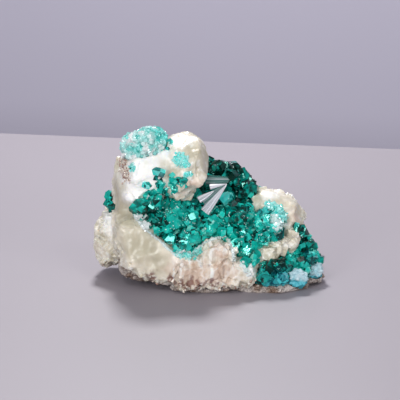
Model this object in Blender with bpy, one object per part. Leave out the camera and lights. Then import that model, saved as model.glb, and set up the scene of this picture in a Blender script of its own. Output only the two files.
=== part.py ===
"""Dioptase on calcite, a hand-sized mineral specimen about 58 mm wide.

A broken mass of cream calcite stands on a thin brown host rock. Short green
dioptase crystals grow in a crust down its front slope and over its ridge, with
a second cluster on the low corner and a few crystals on the round boulder at
the top. A turquoise druse caps the boulder, a clear calcite spear lies in the
main crust, and pale blue chrysocolla lines the low corner.

The origin is on the surface that the specimen stands on, under the middle of
its bounding box. +X is to the right of the display side and +Y is away from it.
"""

import math
import random

import bmesh
import bpy
from mathutils import Euler, Matrix, Vector

MM = 0.001
GAP = 0.15  # clearance between two solids that touch, in mm
CORE_GAP = 0.6  # clearance between a crust's bed and the rock right under it, in mm
WELD = 0.001  # points nearer than this are one point, in mm
FLAT = math.radians(1)  # faces that differ by less than this are one face
GOLDEN_ANGLE = math.radians(137.508)  # spreads a lump's corners evenly
DISPLAY_TILT = math.radians(15)  # the specimen is shown from this far above
CALCITE_FLOOR = 0.6  # calcite stays this far above the surface it stands on, in mm

# Dioptase: a six-sided prism closed by three rhombic faces.
TIP_SLOPE = math.radians(51)  # between the prism's axis and each tip face's normal
TIP_AZIMUTHS = [math.radians(a) for a in (90, 210, 330)]

# The main crust's surface, in mm: columns of points from left to right, each one
# running up the slope from the calcite rim to the ridge and over it.
FIELD_NET = [
    [(-19.0, -6.5, 19.0), (-18.5, -6.0, 20.5), (-18.0, -5.5, 22.0), (-17.5, -4.5, 23.0)],
    [(-15.0, -9.5, 15.5), (-14.5, -8.0, 18.0), (-14.0, -6.0, 21.0), (-13.5, -4.5, 24.0)],
    [(-9.5, -11.5, 11.0), (-9.0, -9.0, 14.5), (-8.5, -6.0, 19.0), (-8.0, -3.0, 24.0)],
    [(-3.5, -11.5, 10.5), (-2.5, -8.0, 15.0), (-1.0, -2.0, 20.5), (0.5, 7.0, 28.0)],
    [(4.5, -9.5, 11.0), (5.0, -5.0, 15.5), (6.0, 1.0, 20.5), (7.0, 9.0, 25.5)],
    [(8.5, -10.5, 6.5), (9.5, -6.5, 12.0), (10.5, -1.5, 17.0), (11.0, 4.5, 21.5)],
    [(14.2, -7.6, 10.0), (16.0, -5.8, 12.8), (17.2, -3.4, 15.2), (17.0, 0.0, 17.2)],
]
FIELD_GRID = (11, 5)  # crystals along and up the crust
RIDGE_NET = [
    [(-3.0, 6.0, 28.0), (-3.0, 10.0, 27.0), (-3.5, 13.5, 22.0)],
    [(3.0, 8.0, 27.8), (3.5, 12.0, 26.0), (3.0, 14.5, 21.0)],
    [(8.0, 8.0, 25.5), (9.0, 11.5, 23.0), (9.0, 14.0, 18.0)],
    [(12.0, 5.0, 21.0), (13.5, 8.5, 19.0), (14.0, 11.0, 14.5)],
]
RIDGE_GRID = (4, 3)
CORNER_NET = [
    [(10.5, -12.5, 3.0), (11.8, -11.3, 4.8), (13.0, -10.0, 6.5)],
    [(16.5, -13.0, 2.5), (18.0, -9.0, 6.5), (19.0, -3.5, 11.5)],
    [(22.0, -10.0, 2.5), (23.5, -4.0, 6.5), (22.5, 0.0, 12.0)],
    [(26.5, -5.0, 2.5), (26.5, -1.0, 5.0), (24.5, 3.0, 9.5)],
    [(26.5, 2.0, 2.5), (25.5, 5.0, 4.5), (23.0, 7.0, 7.5)],
]
CORNER_GRID = (5, 3)
SIDE_NET = [
    [(-23.2, 1.5, 16.0), (-23.6, 2.0, 18.0), (-22.4, 2.5, 20.5)],
    [(-23.4, 4.5, 15.5), (-23.6, 4.5, 18.0), (-22.4, 5.0, 20.5)],
    [(-22.2, 7.5, 15.5), (-22.2, 7.5, 18.0), (-21.2, 7.5, 20.0)],
]
SIDE_GRID = (3, 3)
BED_STEPS = (9, 3)
BED_THICKNESS = 1.7
RIM_MARGIN = 0.08  # how far a clearance reaches past a bed's rim, as a share of it per mm
SKIN = 0.4  # the bed's surface lies this far under the net
OPEN_SPACE = 6.0  # the rock under a crust stays out of this much space over it
ROOT = 1.4  # how deep a crystal's root goes under the net
CRYSTAL_RADII = (0.9, 1.6)
LEAN = 0.42  # spread of the crystals' directions
SPACING = 0.74  # least distance between two tips, as a share of both radii

# Crystals that stand out in the crusts, in mm: tip, the direction from the tip
# back to the root, radius and length.
FIELD_LEADERS = [
    ((-7.0, -9.5, 28.0), (-0.7, 0.9, -1.0), 1.25, 4.4),
    ((-10.6, -9.0, 26.6), (0.3, 0.9, -0.6), 1.2, 4.2),
    ((-19.2, -10.0, 20.3), (0.9, 0.8, 0.3), 1.7, 4.4),
    ((-14.0, -10.5, 23.4), (0.2, 1.0, -0.7), 1.5, 4.4),
    ((-1.5, -11.0, 16.6), (0.3, 1.0, -0.5), 1.9, 4.4),
    ((5.0, -8.5, 14.8), (-0.4, 1.0, -0.2), 1.5, 4.4),
    ((8.0, -6.5, 18.5), (-0.2, 0.8, -0.9), 1.7, 4.4),
    ((12.8, -7.0, 16.4), (0.0, 0.9, -0.6), 1.6, 4.4),
    ((9.5, -11.5, 10.0), (-0.2, 1.0, -0.3), 1.7, 4.4),
    ((13.3, -9.3, 12.4), (-0.4, 1.0, 0.1), 1.5, 4.4),
    ((17.4, -7.4, 14.2), (-0.5, 1.0, -0.3), 1.5, 4.4),
    ((10.4, -13.2, 7.0), (-0.5, 1.0, 0.2), 1.4, 4.4),
    ((2.0, 6.0, 28.8), (0.1, 0.3, -1.0), 1.9, 4.4),
    ((8.8, 6.0, 26.0), (-0.2, 0.4, -1.0), 2.0, 4.4),
    ((11.0, 2.4, 23.4), (-0.5, 0.5, -0.9), 1.7, 4.4),
    ((5.4, 3.4, 26.2), (0.1, 0.6, -1.0), 1.8, 4.4),
    ((-9.6, -12.0, 17.3), (0.1, 1.0, 0.1), 1.5, 4.4),
    ((-12.0, -11.0, 18.6), (-0.2, 1.0, -0.1), 1.4, 4.4),
    ((-5.5, -12.2, 13.2), (0.2, 1.0, 0.3), 1.3, 4.4),
    ((-12.5, -12.3, 15.5), (0.2, 1.0, 0.1), 1.3, 4.4),
    ((-10.0, -13.2, 13.3), (0.1, 1.0, 0.2), 1.3, 4.4),
    ((-7.5, -13.6, 11.8), (0.1, 1.0, 0.3), 1.3, 4.4),
]
CORNER_LEADERS = [
    ((21.8, -2.8, 14.8), (0.1, 0.5, -1.0), 1.9, 4.4),
    ((24.9, -1.0, 11.8), (-0.5, 0.4, -0.9), 1.8, 4.4),
    ((15.8, -12.4, 7.4), (0.5, 1.0, -0.5), 1.8, 4.4),
    ((19.0, -11.0, 6.4), (-0.1, 1.0, -0.2), 1.6, 4.4),
    ((28.3, -3.0, 5.6), (-1.0, 0.4, -0.2), 1.6, 4.4),
    ((25.6, -5.6, 7.2), (-0.2, 1.0, -0.3), 1.5, 4.4),
    ((12.6, -14.4, 3.6), (0.2, 1.0, 0.2), 1.3, 4.0),
]
SIDE_LEADERS = [
    ((-26.1, 3.2, 17.4), (1.0, 0.2, 0.1), 0.95, 3.6),
    ((-25.1, 5.5, 20.6), (1.0, 0.1, -0.2), 1.0, 3.6),
]

# Dioptase crystals that sit alone on the boulder: name, the place as seen from the
# display side (right, up), how far the tip stands out, radius, and lean to the right.
BOULDER_CRYSTALS = [
    ("boulder_crystal_large", (-12.6, 26.5), 2.0, 1.2, 0.3),
    ("boulder_crystal_top", (-9.9, 34.3), 0.9, 0.55, 0.2),
    ("boulder_crystal_upper", (-10.4, 32.3), 0.9, 0.5, -0.2),
    ("boulder_crystal_lower", (-16.4, 23.3), 0.9, 0.55, 0.1),
    ("boulder_crystal_left", (-19.4, 27.6), 0.7, 0.45, -0.3),
]
BOULDER_ROOT = 1.5

# Rock lumps, in mm and degrees: centre, half-sizes, turn, squareness, roughness, corners.
# Squareness 1 is an ellipsoid, and lower values are blockier.
CALCITE_LUMPS = [
    ((-6.8, 0.5, 29.6), (6.6, 8.8, 8.0), (0, 0, 0), 0.85, 0.03, 26),
    ((-15.4, -0.5, 27.6), (7.4, 8.6, 7.6), (0, 15, 0), 0.85, 0.03, 28),
    ((-15.9, 0.5, 32.2), (6.4, 6.6, 5.0), (0, 0, 0), 0.9, 0.04, 38),
    ((-18.4, -3.6, 23.6), (3.4, 4.6, 3.6), (0, 35, 0), 0.7, 0.05, 28),
    ((-5.8, -2.8, 26.6), (5.0, 6.2, 4.8), (20, 20, 0), 0.7, 0.05, 22),
    ((-21.0, 1.0, 19.6), (3.2, 6.8, 12.0), (0, -3, 10), 0.7, 0.04, 22),
    ((-20.2, -3.0, 11.8), (4.2, 8.6, 8.2), (0, -12, 8), 0.7, 0.04, 22),
    ((-16.2, -4.5, 7.8), (6.0, 8.6, 5.6), (0, 28, 0), 0.7, 0.04, 22),
    ((-11.4, -6.4, 5.8), (5.0, 7.4, 4.2), (0, 10, 0), 0.7, 0.05, 22),
    ((-25.2, 6.0, 8.2), (4.0, 7.0, 6.2), (0, -6, -12), 0.6, 0.05, 22),
    ((-24.6, 5.0, 13.6), (3.2, 4.6, 3.4), (0, 30, 0), 0.6, 0.05, 26),
    ((-16.6, -6.6, 12.4), (3.8, 4.2, 5.0), (0, 25, 0), 0.7, 0.05, 22),
    ((-11.6, -8.6, 9.4), (4.4, 4.4, 4.0), (0, 35, 0), 0.7, 0.05, 22),
    ((-6.8, -9.8, 7.4), (4.0, 3.8, 3.4), (0, 20, 0), 0.7, 0.05, 22),
    ((-5.4, -9.6, 4.6), (5.0, 5.6, 4.4), (0, 5, 0), 0.6, 0.05, 22),
    ((1.4, -9.2, 6.8), (4.6, 5.8, 6.2), (0, 8, 8), 0.45, 0.03, 26),
    ((7.6, -8.8, 4.6), (4.0, 6.0, 3.9), (0, 0, 0), 0.7, 0.06, 22),
    ((13.9, 4.4, 18.4), (4.2, 5.6, 3.8), (0, 10, 0), 0.75, 0.05, 22),
    ((17.6, 4.6, 16.4), (4.6, 6.0, 4.8), (0, 35, 0), 0.7, 0.05, 22),
    ((20.5, 3.8, 13.3), (3.4, 5.4, 4.4), (0, 30, 0), 0.7, 0.05, 22),
    ((16.6, 5.6, 12.0), (5.6, 5.2, 6.4), (0, 15, 0), 0.75, 0.05, 22),
    ((15.0, -5.8, 9.0), (4.0, 3.2, 2.4), (10, -25, 0), 0.7, 0.06, 26),
    ((19.8, -3.0, 11.0), (2.2, 3.2, 2.8), (0, 20, 0), 0.7, 0.06, 28),
    ((-12.0, 5.5, 17.0), (10.0, 9.4, 12.0), (0, 0, 0), 0.8, 0.04, 22),
    ((-14.0, 10.5, 10.5), (8.4, 6.6, 8.6), (0, 0, 15), 0.7, 0.05, 22),
    ((-4.0, 12.5, 12.0), (7.0, 5.4, 8.4), (10, 0, 0), 0.7, 0.05, 22),
]
HOST_LUMPS = [
    ((-1.5, -1.0, 1.6), (9.5, 13.0, 2.6), (0, 0, 0), 0.6, 0.04, 28),
    ((-12.5, 0.5, 3.4), (11.5, 12.0, 2.4), (0, 4, 0), 0.7, 0.05, 26),
    ((14.0, -2.0, 0.8), (11.5, 11.6, 2.2), (0, 0, 0), 0.7, 0.04, 28),
    ((21.8, -1.5, 1.5), (6.6, 7.0, 1.5), (0, 0, 20), 0.7, 0.05, 28),
    ((2.0, 11.0, 3.4), (13.0, 6.0, 3.8), (0, 0, 0), 0.7, 0.05, 26),
]
# These lie under the crusts, which they carry.
CORE_LUMPS = [
    ((1.0, 3.0, 12.5), (13.0, 10.5, 9.0), (0, 15, 0), 0.75, 0.04, 26),
    ((2.5, 7.5, 17.0), (8.6, 6.0, 8.0), (0, 15, 0), 0.75, 0.05, 22),
    ((12.5, 3.5, 9.5), (9.4, 8.0, 8.0), (0, 20, 0), 0.75, 0.05, 22),
    ((19.0, -3.0, 5.5), (6.6, 7.4, 5.0), (0, 25, 0), 0.75, 0.05, 26),
    ((20.5, 3.0, 6.5), (5.0, 5.6, 6.0), (0, 20, 0), 0.75, 0.05, 26),
]
DRUSE_LUMPS = [
    ((-16.6, -1.0, 34.9), (6.0, 5.6, 3.8), (0, -18, 0), 0.85, 0.06, 38),
    ((-14.0, -0.5, 35.9), (3.5, 4.6, 3.3), (0, 15, 0), 0.85, 0.06, 28),
]
CHRYSOCOLLA = [
    ("chrysocolla_foot", ((21.6, -10.2, 3.2), (2.6, 1.8, 2.5), (0, 25, 0), 0.7, 0.06, 28)),
    ("chrysocolla_edge", ((26.0, -3.6, 3.0), (2.6, 3.4, 1.9), (0, -35, 0), 0.8, 0.06, 38)),
]
# Name, lumps, seed and the height that it is cut flat at, if any.
ROCKS = [
    ("calcite_matrix", CALCITE_LUMPS, 20, CALCITE_FLOOR),
    ("host_rock", HOST_LUMPS, 80, 0.0),
    ("druse_cap", DRUSE_LUMPS, 70, None),
]

# Clear calcite spear lying in the main crust: a six-sided point, in mm.
SPEAR_ROOT = Vector((-3.4, -4.5, 17.0))
SPEAR_TIP = Vector((4.1, -2.6, 25.2))
SPEAR_RADIUS = 3.2
SPEAR_END = 0.35  # radius at the blunt point
SPEAR_FLATTEN = 0.55
DISPLAY_SIDE = Vector((0, -1, 0.27))


def clear_scene():
    for obj in list(bpy.data.objects):
        bpy.data.objects.remove(obj, do_unlink=True)


def new_collection(name):
    made = bpy.data.collections.new(name)
    bpy.context.scene.collection.children.link(made)
    return made


def linear(hex_colour):
    """An sRGB hex colour as linear RGBA."""
    values = [int(hex_colour[i : i + 2], 16) / 255 for i in (1, 3, 5)]
    return [v / 12.92 if v < 0.04045 else ((v + 0.055) / 1.055) ** 2.4 for v in values] + [1]


def mineral(name, colour, roughness, clear=0.0):
    material = bpy.data.materials.new(name)
    material.use_nodes = True
    shader = material.node_tree.nodes["Principled BSDF"]
    shader.inputs["Base Color"].default_value = linear(colour)
    shader.inputs["Roughness"].default_value = roughness
    shader.inputs["Metallic"].default_value = 0
    shader.inputs["Transmission Weight"].default_value = clear
    return material


def object_from(bm, name, collection):
    """The bmesh, in mm, as an object in metres with its faces pointing out."""
    bm.normal_update()
    bmesh.ops.recalc_face_normals(bm, faces=bm.faces)
    bmesh.ops.triangulate(bm, faces=bm.faces)
    bmesh.ops.scale(bm, vec=(MM, MM, MM), verts=bm.verts)
    mesh = bpy.data.meshes.new(name)
    bm.to_mesh(mesh)
    bm.free()
    obj = bpy.data.objects.new(name, mesh)
    collection.objects.link(obj)
    return obj


def cut_flat(bm, point, normal):
    """Cuts away what lies beyond a plane and closes the cut."""
    geometry = bm.verts[:] + bm.edges[:] + bm.faces[:]
    cut = bmesh.ops.bisect_plane(
        bm, geom=geometry, plane_co=point, plane_no=normal, clear_outer=True
    )
    edges = [e for e in cut["geom_cut"] if isinstance(e, bmesh.types.BMEdge)]
    bmesh.ops.contextual_create(bm, geom=edges)


def hull_of(points):
    """The smallest convex solid around the points."""
    bm = bmesh.new()
    for point in points:
        bm.verts.new(point)
    bmesh.ops.convex_hull(bm, input=bm.verts)
    inside = [vert for vert in bm.verts if not vert.link_faces]
    bmesh.ops.delete(bm, geom=inside, context="VERTS")
    return bm


def lump(name, shape, seed, collection, grow=0.0, floor=None):
    """A rock lump: a squared-off ellipsoid with flat breaks between its corners."""
    centre, radii, turn, squareness, roughness, corners = shape
    rng = random.Random(seed)
    points = []
    for i in range(corners):
        height = 1 - (2 * i + 1) / corners
        ring = math.sqrt(1 - height**2)
        angle = i * GOLDEN_ANGLE + seed
        ball = (ring * math.cos(angle), ring * math.sin(angle), height)
        squared = Vector([math.copysign(abs(c) ** squareness, c) for c in ball])
        points.append(squared * (1 + rng.uniform(-roughness, roughness)))
    bm = hull_of(points)
    size = Matrix.Diagonal(Vector([r + grow for r in radii] + [1]))
    turned = Euler([math.radians(a) for a in turn]).to_matrix().to_4x4()
    bm.transform(Matrix.Translation(centre) @ turned @ size)
    if floor is not None and min(vert.co.z for vert in bm.verts) < floor:
        cut_flat(bm, Vector((0, 0, floor)), Vector((0, 0, -1)))
    return object_from(bm, name, collection)


def lumps(name, shapes, seed, grow=0.0, floor=None):
    """A new collection with a lump for each shape."""
    made = new_collection(name)
    for i, shape in enumerate(shapes):
        lump(f"{name}_{i}", shape, seed + i, made, grow, floor)
    return made


def crystal(name, tip, back, radius, length, spin, collection, grow=0.0):
    """One dioptase crystal: a six-sided prism from its root to a tip of three faces."""
    bm = bmesh.new()
    tall = length + grow + radius
    bmesh.ops.create_cone(
        bm, cap_ends=True, segments=6, radius1=radius + grow, radius2=radius + grow, depth=tall
    )
    bmesh.ops.translate(bm, vec=(0, 0, radius - tall / 2), verts=bm.verts)
    for azimuth in TIP_AZIMUTHS:
        normal = Vector(
            (
                math.sin(TIP_SLOPE) * math.cos(azimuth),
                math.sin(TIP_SLOPE) * math.sin(azimuth),
                math.cos(TIP_SLOPE),
            )
        )
        cut_flat(bm, normal * grow, normal)
    up = -Vector(back).normalized()
    turn = up.to_track_quat("Z", "Y").to_matrix().to_4x4() @ Matrix.Rotation(spin, 4, "Z")
    bm.transform(Matrix.Translation(tip) @ turn)
    return object_from(bm, name, collection)


def spear(name, collection, grow=0.0):
    """The clear calcite spear: a flattened six-sided prism that narrows to a point."""
    axis = SPEAR_TIP - SPEAR_ROOT
    along_axis = axis.normalized()
    broad = along_axis.cross(DISPLAY_SIDE).normalized()
    radius = SPEAR_RADIUS + grow
    bm = bmesh.new()
    bmesh.ops.create_cone(
        bm,
        cap_ends=True,
        segments=6,
        radius1=radius,
        radius2=SPEAR_END + grow,
        depth=axis.length + 2 * grow,
    )
    flat = Matrix.Diagonal(Vector((1, SPEAR_FLATTEN, 1, 1)))
    turn = Matrix((broad, along_axis.cross(broad), along_axis)).transposed().to_4x4()
    bm.transform(Matrix.Translation((SPEAR_ROOT + SPEAR_TIP) / 2) @ turn @ flat)
    return object_from(bm, name, collection)


def along(points, share):
    """A point on the smooth curve through the points, at a share of its way."""
    place = share * (len(points) - 1)
    i = max(min(int(place), len(points) - 2), 0)
    t = place - i
    b, c = points[i], points[i + 1]
    a = points[i - 1] if i else b * 2 - c
    d = points[i + 2] if i + 2 < len(points) else c * 2 - b
    bend = (a * 2 - b * 5 + c * 4 - d) * t**2 + (b * 3 - a - c * 3 + d) * t**3
    return (b * 2 + (c - a) * t + bend) / 2


def on_net(net, across, up):
    """A point on the smooth surface through the net's points."""
    columns = [along([Vector(p) for p in column], up) for column in net]
    return along(columns, across)


def net_normal(net, across, up, step=0.02):
    """The crust's outward direction there."""
    right = on_net(net, across + step, up) - on_net(net, across - step, up)
    rise = on_net(net, across, up + step) - on_net(net, across, up - step)
    return right.cross(rise).normalized()


def bed(name, net, collection, grow=0.0, over=0.0):
    """The solid crust that the crystals stand on: two layers that follow the net.

    It also takes in as much of the space over the crust as over says.
    """
    margin = grow * RIM_MARGIN
    columns, rows = BED_STEPS
    bm = bmesh.new()
    bmesh.ops.create_grid(bm, x_segments=columns, y_segments=rows, size=0.5)
    bmesh.ops.triangulate(bm, faces=bm.faces, quad_method="FIXED")
    lower = set(bm.verts)
    bmesh.ops.extrude_face_region(bm, geom=bm.faces[:], use_keep_orig=True)
    for vert in bm.verts:
        on_rim = max(abs(vert.co.x), abs(vert.co.y)) > 0.5 - margin
        stretch = 1 + margin if on_rim else 1
        across, up = vert.co.x * stretch + 0.5, vert.co.y * stretch + 0.5
        layer = -BED_THICKNESS - grow if vert in lower else over + grow
        vert.co = on_net(net, across, up) + net_normal(net, across, up) * (layer - SKIN)
    return object_from(bm, name, collection)


def crust_crystals(net, grid, seed, leaders):
    """Tip, back direction, radius, length and spin of each crystal of a crust."""
    rng = random.Random(seed)
    columns, rows = grid
    made = [(Vector(tip), *rest, rng.uniform(0, math.tau)) for tip, *rest in leaders]
    for i in range(columns):
        for j in range(rows):
            across = (i + rng.uniform(0.15, 0.85)) / columns
            up = (j + rng.uniform(0.15, 0.85)) / rows
            lean = Vector([rng.gauss(0, LEAN) for _ in range(3)])
            out = (net_normal(net, across, up) + lean).normalized()
            radius = rng.uniform(*CRYSTAL_RADII)
            proud = radius * rng.uniform(1.0, 1.8)
            tip = on_net(net, across, up) + out * proud
            spin = rng.uniform(0, math.tau)
            if all((tip - other[0]).length > SPACING * (radius + other[2]) for other in made):
                made.append((tip, -out, radius, proud + ROOT, spin))
    return made


def bake(obj):
    """Replaces the object's mesh with what its modifiers make of it."""
    bpy.context.view_layer.update()
    graph = bpy.context.evaluated_depsgraph_get()
    mesh = bpy.data.meshes.new_from_object(obj.evaluated_get(graph), depsgraph=graph)
    obj.modifiers.clear()
    obj.data = mesh


def discard(collection):
    for obj in list(collection.objects):
        bpy.data.objects.remove(obj, do_unlink=True)
    bpy.data.collections.remove(collection)


def combine(obj, others, operation):
    """Joins the collection's objects to obj, or cuts them from it."""
    step = obj.modifiers.new(operation.lower(), "BOOLEAN")
    step.operation = operation
    step.operand_type = "COLLECTION"
    step.collection = others
    bake(obj)


def keep_one_body(obj):
    """Leaves only the largest shell, without loose chips or sealed hollows."""
    bm = bmesh.new()
    bm.from_mesh(obj.data)
    bmesh.ops.remove_doubles(bm, verts=bm.verts, dist=WELD * MM)
    shells = []
    waiting = set(bm.faces)
    while waiting:
        queue = [waiting.pop()]
        shell = []
        while queue:
            face = queue.pop()
            shell.append(face)
            edges = [edge for edge in face.edges if edge.is_manifold]
            beside = {other for edge in edges for other in edge.link_faces} & waiting
            waiting -= beside
            queue.extend(beside)
        volume = sum(f.calc_center_median().dot(f.normal) * f.calc_area() for f in shell)
        shells.append((volume, shell))
    largest = max(shells, key=lambda entry: entry[0])[1]
    extra = [face for _, shell in shells if shell is not largest for face in shell]
    bmesh.ops.delete(bm, geom=extra, context="FACES")
    bmesh.ops.dissolve_limit(bm, angle_limit=FLAT, verts=bm.verts, edges=bm.edges)
    bmesh.ops.triangulate(bm, faces=bm.faces)
    bm.to_mesh(obj.data)
    bm.free()


def join(name, pieces, collection, one_body=True):
    """The union of a collection's objects, as one object in the other collection."""
    obj = pieces.objects[0]
    pieces.objects.unlink(obj)
    collection.objects.link(obj)
    obj.name = name
    if pieces.objects:
        combine(obj, pieces, "UNION")
    discard(pieces)
    if one_body:
        keep_one_body(obj)
    return obj


def crust(name, nets, crystals, collection, grow=0.0):
    """A crust: its beds and its crystals, grown together."""
    pieces = new_collection(f"{name}_pieces")
    for i, net in enumerate(nets):
        bed(f"{name}_bed_{i}", net, pieces, grow)
    for i, place in enumerate(crystals):
        crystal(f"{name}_crystal_{i}", *place, pieces, grow)
    return join(name, pieces, collection)


def cut(obj, cutters):
    """Cuts the grown copies of the neighbours from an object."""
    held = new_collection("held")
    for cutter in cutters:
        held.objects.link(cutter)
    combine(obj, held, "DIFFERENCE")
    bpy.data.collections.remove(held)
    keep_one_body(obj)


def finish(obj, material):
    obj.data.materials.clear()
    obj.data.materials.append(material)
    return obj


def stand(objects):
    """Moves the whole specimen so that the origin is under the middle of its box."""
    points = [vert.co for obj in objects for vert in obj.data.vertices]
    low = [min(p[i] for p in points) for i in range(3)]
    high = [max(p[i] for p in points) for i in range(3)]
    middle = Vector(((low[0] + high[0]) / 2, (low[1] + high[1]) / 2, low[2]))
    for obj in objects:
        obj.data.transform(Matrix.Translation(-middle))
    return middle


def boulder_places(rock):
    """Tip, back direction, radius, length and spin of each crystal on the boulder."""
    ahead = Vector((0, math.cos(DISPLAY_TILT), -math.sin(DISPLAY_TILT)))
    up = Vector((0, math.sin(DISPLAY_TILT), math.cos(DISPLAY_TILT)))
    places = {}
    for i, (name, (x, height), proud, radius, lean) in enumerate(BOULDER_CRYSTALS):
        start = Vector((x, 0, 0)) + up * height - ahead * 100
        hit, point, normal, _ = rock.ray_cast(start * MM, ahead)
        if not hit:
            raise ValueError(f"{name} lies beside the rock")
        out = (normal + Vector((lean, 0, 0))).normalized()
        places[name] = (point / MM + out * proud, -out, radius, proud + BOULDER_ROOT, i)
    return places


def crusts():
    """The nets of each crust and the places of its crystals."""
    field = crust_crystals(FIELD_NET, FIELD_GRID, 11, FIELD_LEADERS)
    ridge = crust_crystals(RIDGE_NET, RIDGE_GRID, 12, [])
    corner = crust_crystals(CORNER_NET, CORNER_GRID, 13, CORNER_LEADERS)
    side = crust_crystals(SIDE_NET, SIDE_GRID, 14, SIDE_LEADERS)
    return {
        "dioptase_crust": ([FIELD_NET, RIDGE_NET], field + ridge),
        "dioptase_corner": ([CORNER_NET], corner),
        "dioptase_side": ([SIDE_NET], side),
    }


def core(name, collection):
    """The rock under the crusts, cut away wherever it would reach into or over them."""
    obj = join(name, lumps(f"{name}_lumps", CORE_LUMPS, 50, 0, CALCITE_FLOOR), collection)
    space = new_collection("crust_space")
    for i, net in enumerate([FIELD_NET, RIDGE_NET, CORNER_NET]):
        bed(f"space_{i}", net, space, CORE_GAP, OPEN_SPACE)
    combine(obj, space, "DIFFERENCE")
    discard(space)
    keep_one_body(obj)
    return obj


def main():
    clear_scene()
    specimen = new_collection("dioptase_specimen")
    cutters = new_collection("cutters")

    green = mineral("dioptase_green", "#0F7F68", 0.15, 0.4)
    cream = mineral("calcite_cream", "#DDD8C4", 0.4)
    brown = mineral("iron_stained_rock", "#8A6A60", 0.9)
    turquoise = mineral("turquoise_druse", "#8FD9D6", 0.4)
    clear = mineral("clear_calcite", "#C9D3DC", 0.1, 0.8)
    blue = mineral("pale_chrysocolla", "#7FB9C9", 0.5)

    made, grown = {}, {}
    for grow, collection, result in ((0, specimen, made), (GAP, cutters, grown)):
        end = "_grown" if grow else ""
        for name, shape in crusts().items():
            result[name] = crust(name + end, *shape, collection, grow)
        for i, (name, shape) in enumerate(CHRYSOCOLLA):
            result[name] = lump(name + end, shape, 60 + i, collection, grow)
        result["calcite_spear"] = spear("calcite_spear" + end, collection, grow)
        for name, shapes, seed, floor in ROCKS:
            floor = None if grow else floor
            pieces = lumps(f"{name}_lumps{end}", shapes, seed, grow, floor)
            result[name] = join(name + end, pieces, collection, one_body=False)

    crystals = boulder_places(made["calcite_matrix"])
    for name, place in crystals.items():
        made[name] = crystal(name, *place, specimen)
        grown[name] = crystal(f"{name}_grown", *place, cutters, GAP)
    coloured = [name for name, _ in CHRYSOCOLLA]
    for name in crusts():
        neighbours = ["calcite_matrix", "host_rock", "calcite_spear", *coloured]
        cut(made[name], [grown[other] for other in neighbours])
    cut(made["host_rock"], [grown[name] for name in coloured])
    for name in coloured:
        cut(made[name], [grown["calcite_matrix"]])

    inner = core("core", specimen)
    cut(inner, [grown[name] for name in crusts()])
    rock = new_collection("calcite_pieces")
    for obj in (made["calcite_matrix"], inner):
        specimen.objects.unlink(obj)
        rock.objects.link(obj)
    made["calcite_matrix"] = join("calcite_matrix", rock, specimen)
    set_in = ["host_rock", "druse_cap", "calcite_spear", *crystals, *coloured]
    cut(made["calcite_matrix"], [grown[name] for name in set_in])

    for name in [*crusts(), *crystals]:
        finish(made[name], green)
    for name in coloured:
        finish(made[name], blue)
    finish(made["calcite_matrix"], cream)
    finish(made["host_rock"], brown)
    finish(made["druse_cap"], turquoise)
    finish(made["calcite_spear"], clear)
    discard(cutters)
    stand(list(made.values()))


if __name__ == "__main__":
    main()
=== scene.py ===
"""Looks of a dioptase specimen: green crystals on broken calcite, about 58 mm wide."""

import math
from collections import namedtuple

import bmesh
import bpy
import numpy as np
from bpy.props import FloatProperty, FloatVectorProperty, IntProperty, PointerProperty
from bpy.types import Operator, Panel, PropertyGroup
from mathutils import Euler, Matrix, Vector, noise
from mathutils.bvhtree import BVHTree


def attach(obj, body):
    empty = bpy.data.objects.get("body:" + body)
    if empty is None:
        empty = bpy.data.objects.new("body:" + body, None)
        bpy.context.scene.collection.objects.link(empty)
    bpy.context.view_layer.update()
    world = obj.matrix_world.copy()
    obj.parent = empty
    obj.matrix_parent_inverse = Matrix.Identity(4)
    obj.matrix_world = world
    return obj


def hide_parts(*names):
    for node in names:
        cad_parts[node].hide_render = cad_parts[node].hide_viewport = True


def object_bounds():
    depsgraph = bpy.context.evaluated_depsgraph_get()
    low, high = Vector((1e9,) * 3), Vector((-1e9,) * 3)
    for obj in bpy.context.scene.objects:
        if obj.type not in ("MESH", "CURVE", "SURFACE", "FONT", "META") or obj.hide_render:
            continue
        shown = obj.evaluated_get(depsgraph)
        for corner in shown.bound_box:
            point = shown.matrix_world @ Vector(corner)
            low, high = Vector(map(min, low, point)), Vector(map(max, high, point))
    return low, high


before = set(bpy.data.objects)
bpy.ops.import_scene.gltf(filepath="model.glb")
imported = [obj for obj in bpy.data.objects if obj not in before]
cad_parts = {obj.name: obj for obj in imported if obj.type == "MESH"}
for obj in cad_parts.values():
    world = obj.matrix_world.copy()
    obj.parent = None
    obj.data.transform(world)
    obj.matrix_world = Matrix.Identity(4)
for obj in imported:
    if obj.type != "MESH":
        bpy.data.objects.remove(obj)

bl_info = {
    "name": "Dioptase Specimen",
    "version": (1, 0, 0),
    "blender": (4, 5, 0),
    "location": "3D Viewport > Sidebar > Specimen",
    "description": "Builds the visible surfaces of a dioptase specimen on its solids",
    "category": "Add Mesh",
}

CAD_BOX = [list(corner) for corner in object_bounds()]
MM = 0.001
BODY = "root"

# The photograph's view, in mm: where the camera looks, from how far and how steeply.
AIM = Vector((-2.43, -1.55, 20.45))
DISTANCE = 450.0
ELEVATION = math.radians(15)
SENSOR = 36.0
LENS = 162.0
PHOTO = 400  # pixels a side

# A dioptase crystal: a six-sided prism under three rhombic faces, closed below.
TIP_SLOPE = math.radians(51)
PRISM_ANGLES = [math.radians(30 + 60 * i) for i in range(6)]
TIP_FACES = [(0, 6, 1, 2), (0, 2, 3, 4), (0, 4, 5, 6)]
SIDES = [(1 + i, 7 + i, 7 + (i + 1) % 6, 1 + (i + 1) % 6) for i in range(6)]
FOOT = [(12, 11, 10, 9, 8, 7)]
CRYSTAL_FACES = TIP_FACES + SIDES + FOOT
CORNERS = 13

# The normals of calcite's three cleavages, 44.6 degrees from its long axis.
CLEAVAGE = [
    Euler((0, math.radians(44.6), math.radians(turn))).to_matrix() @ Vector((0, 0, 1))
    for turn in (0, 120, 240)
]

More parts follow.
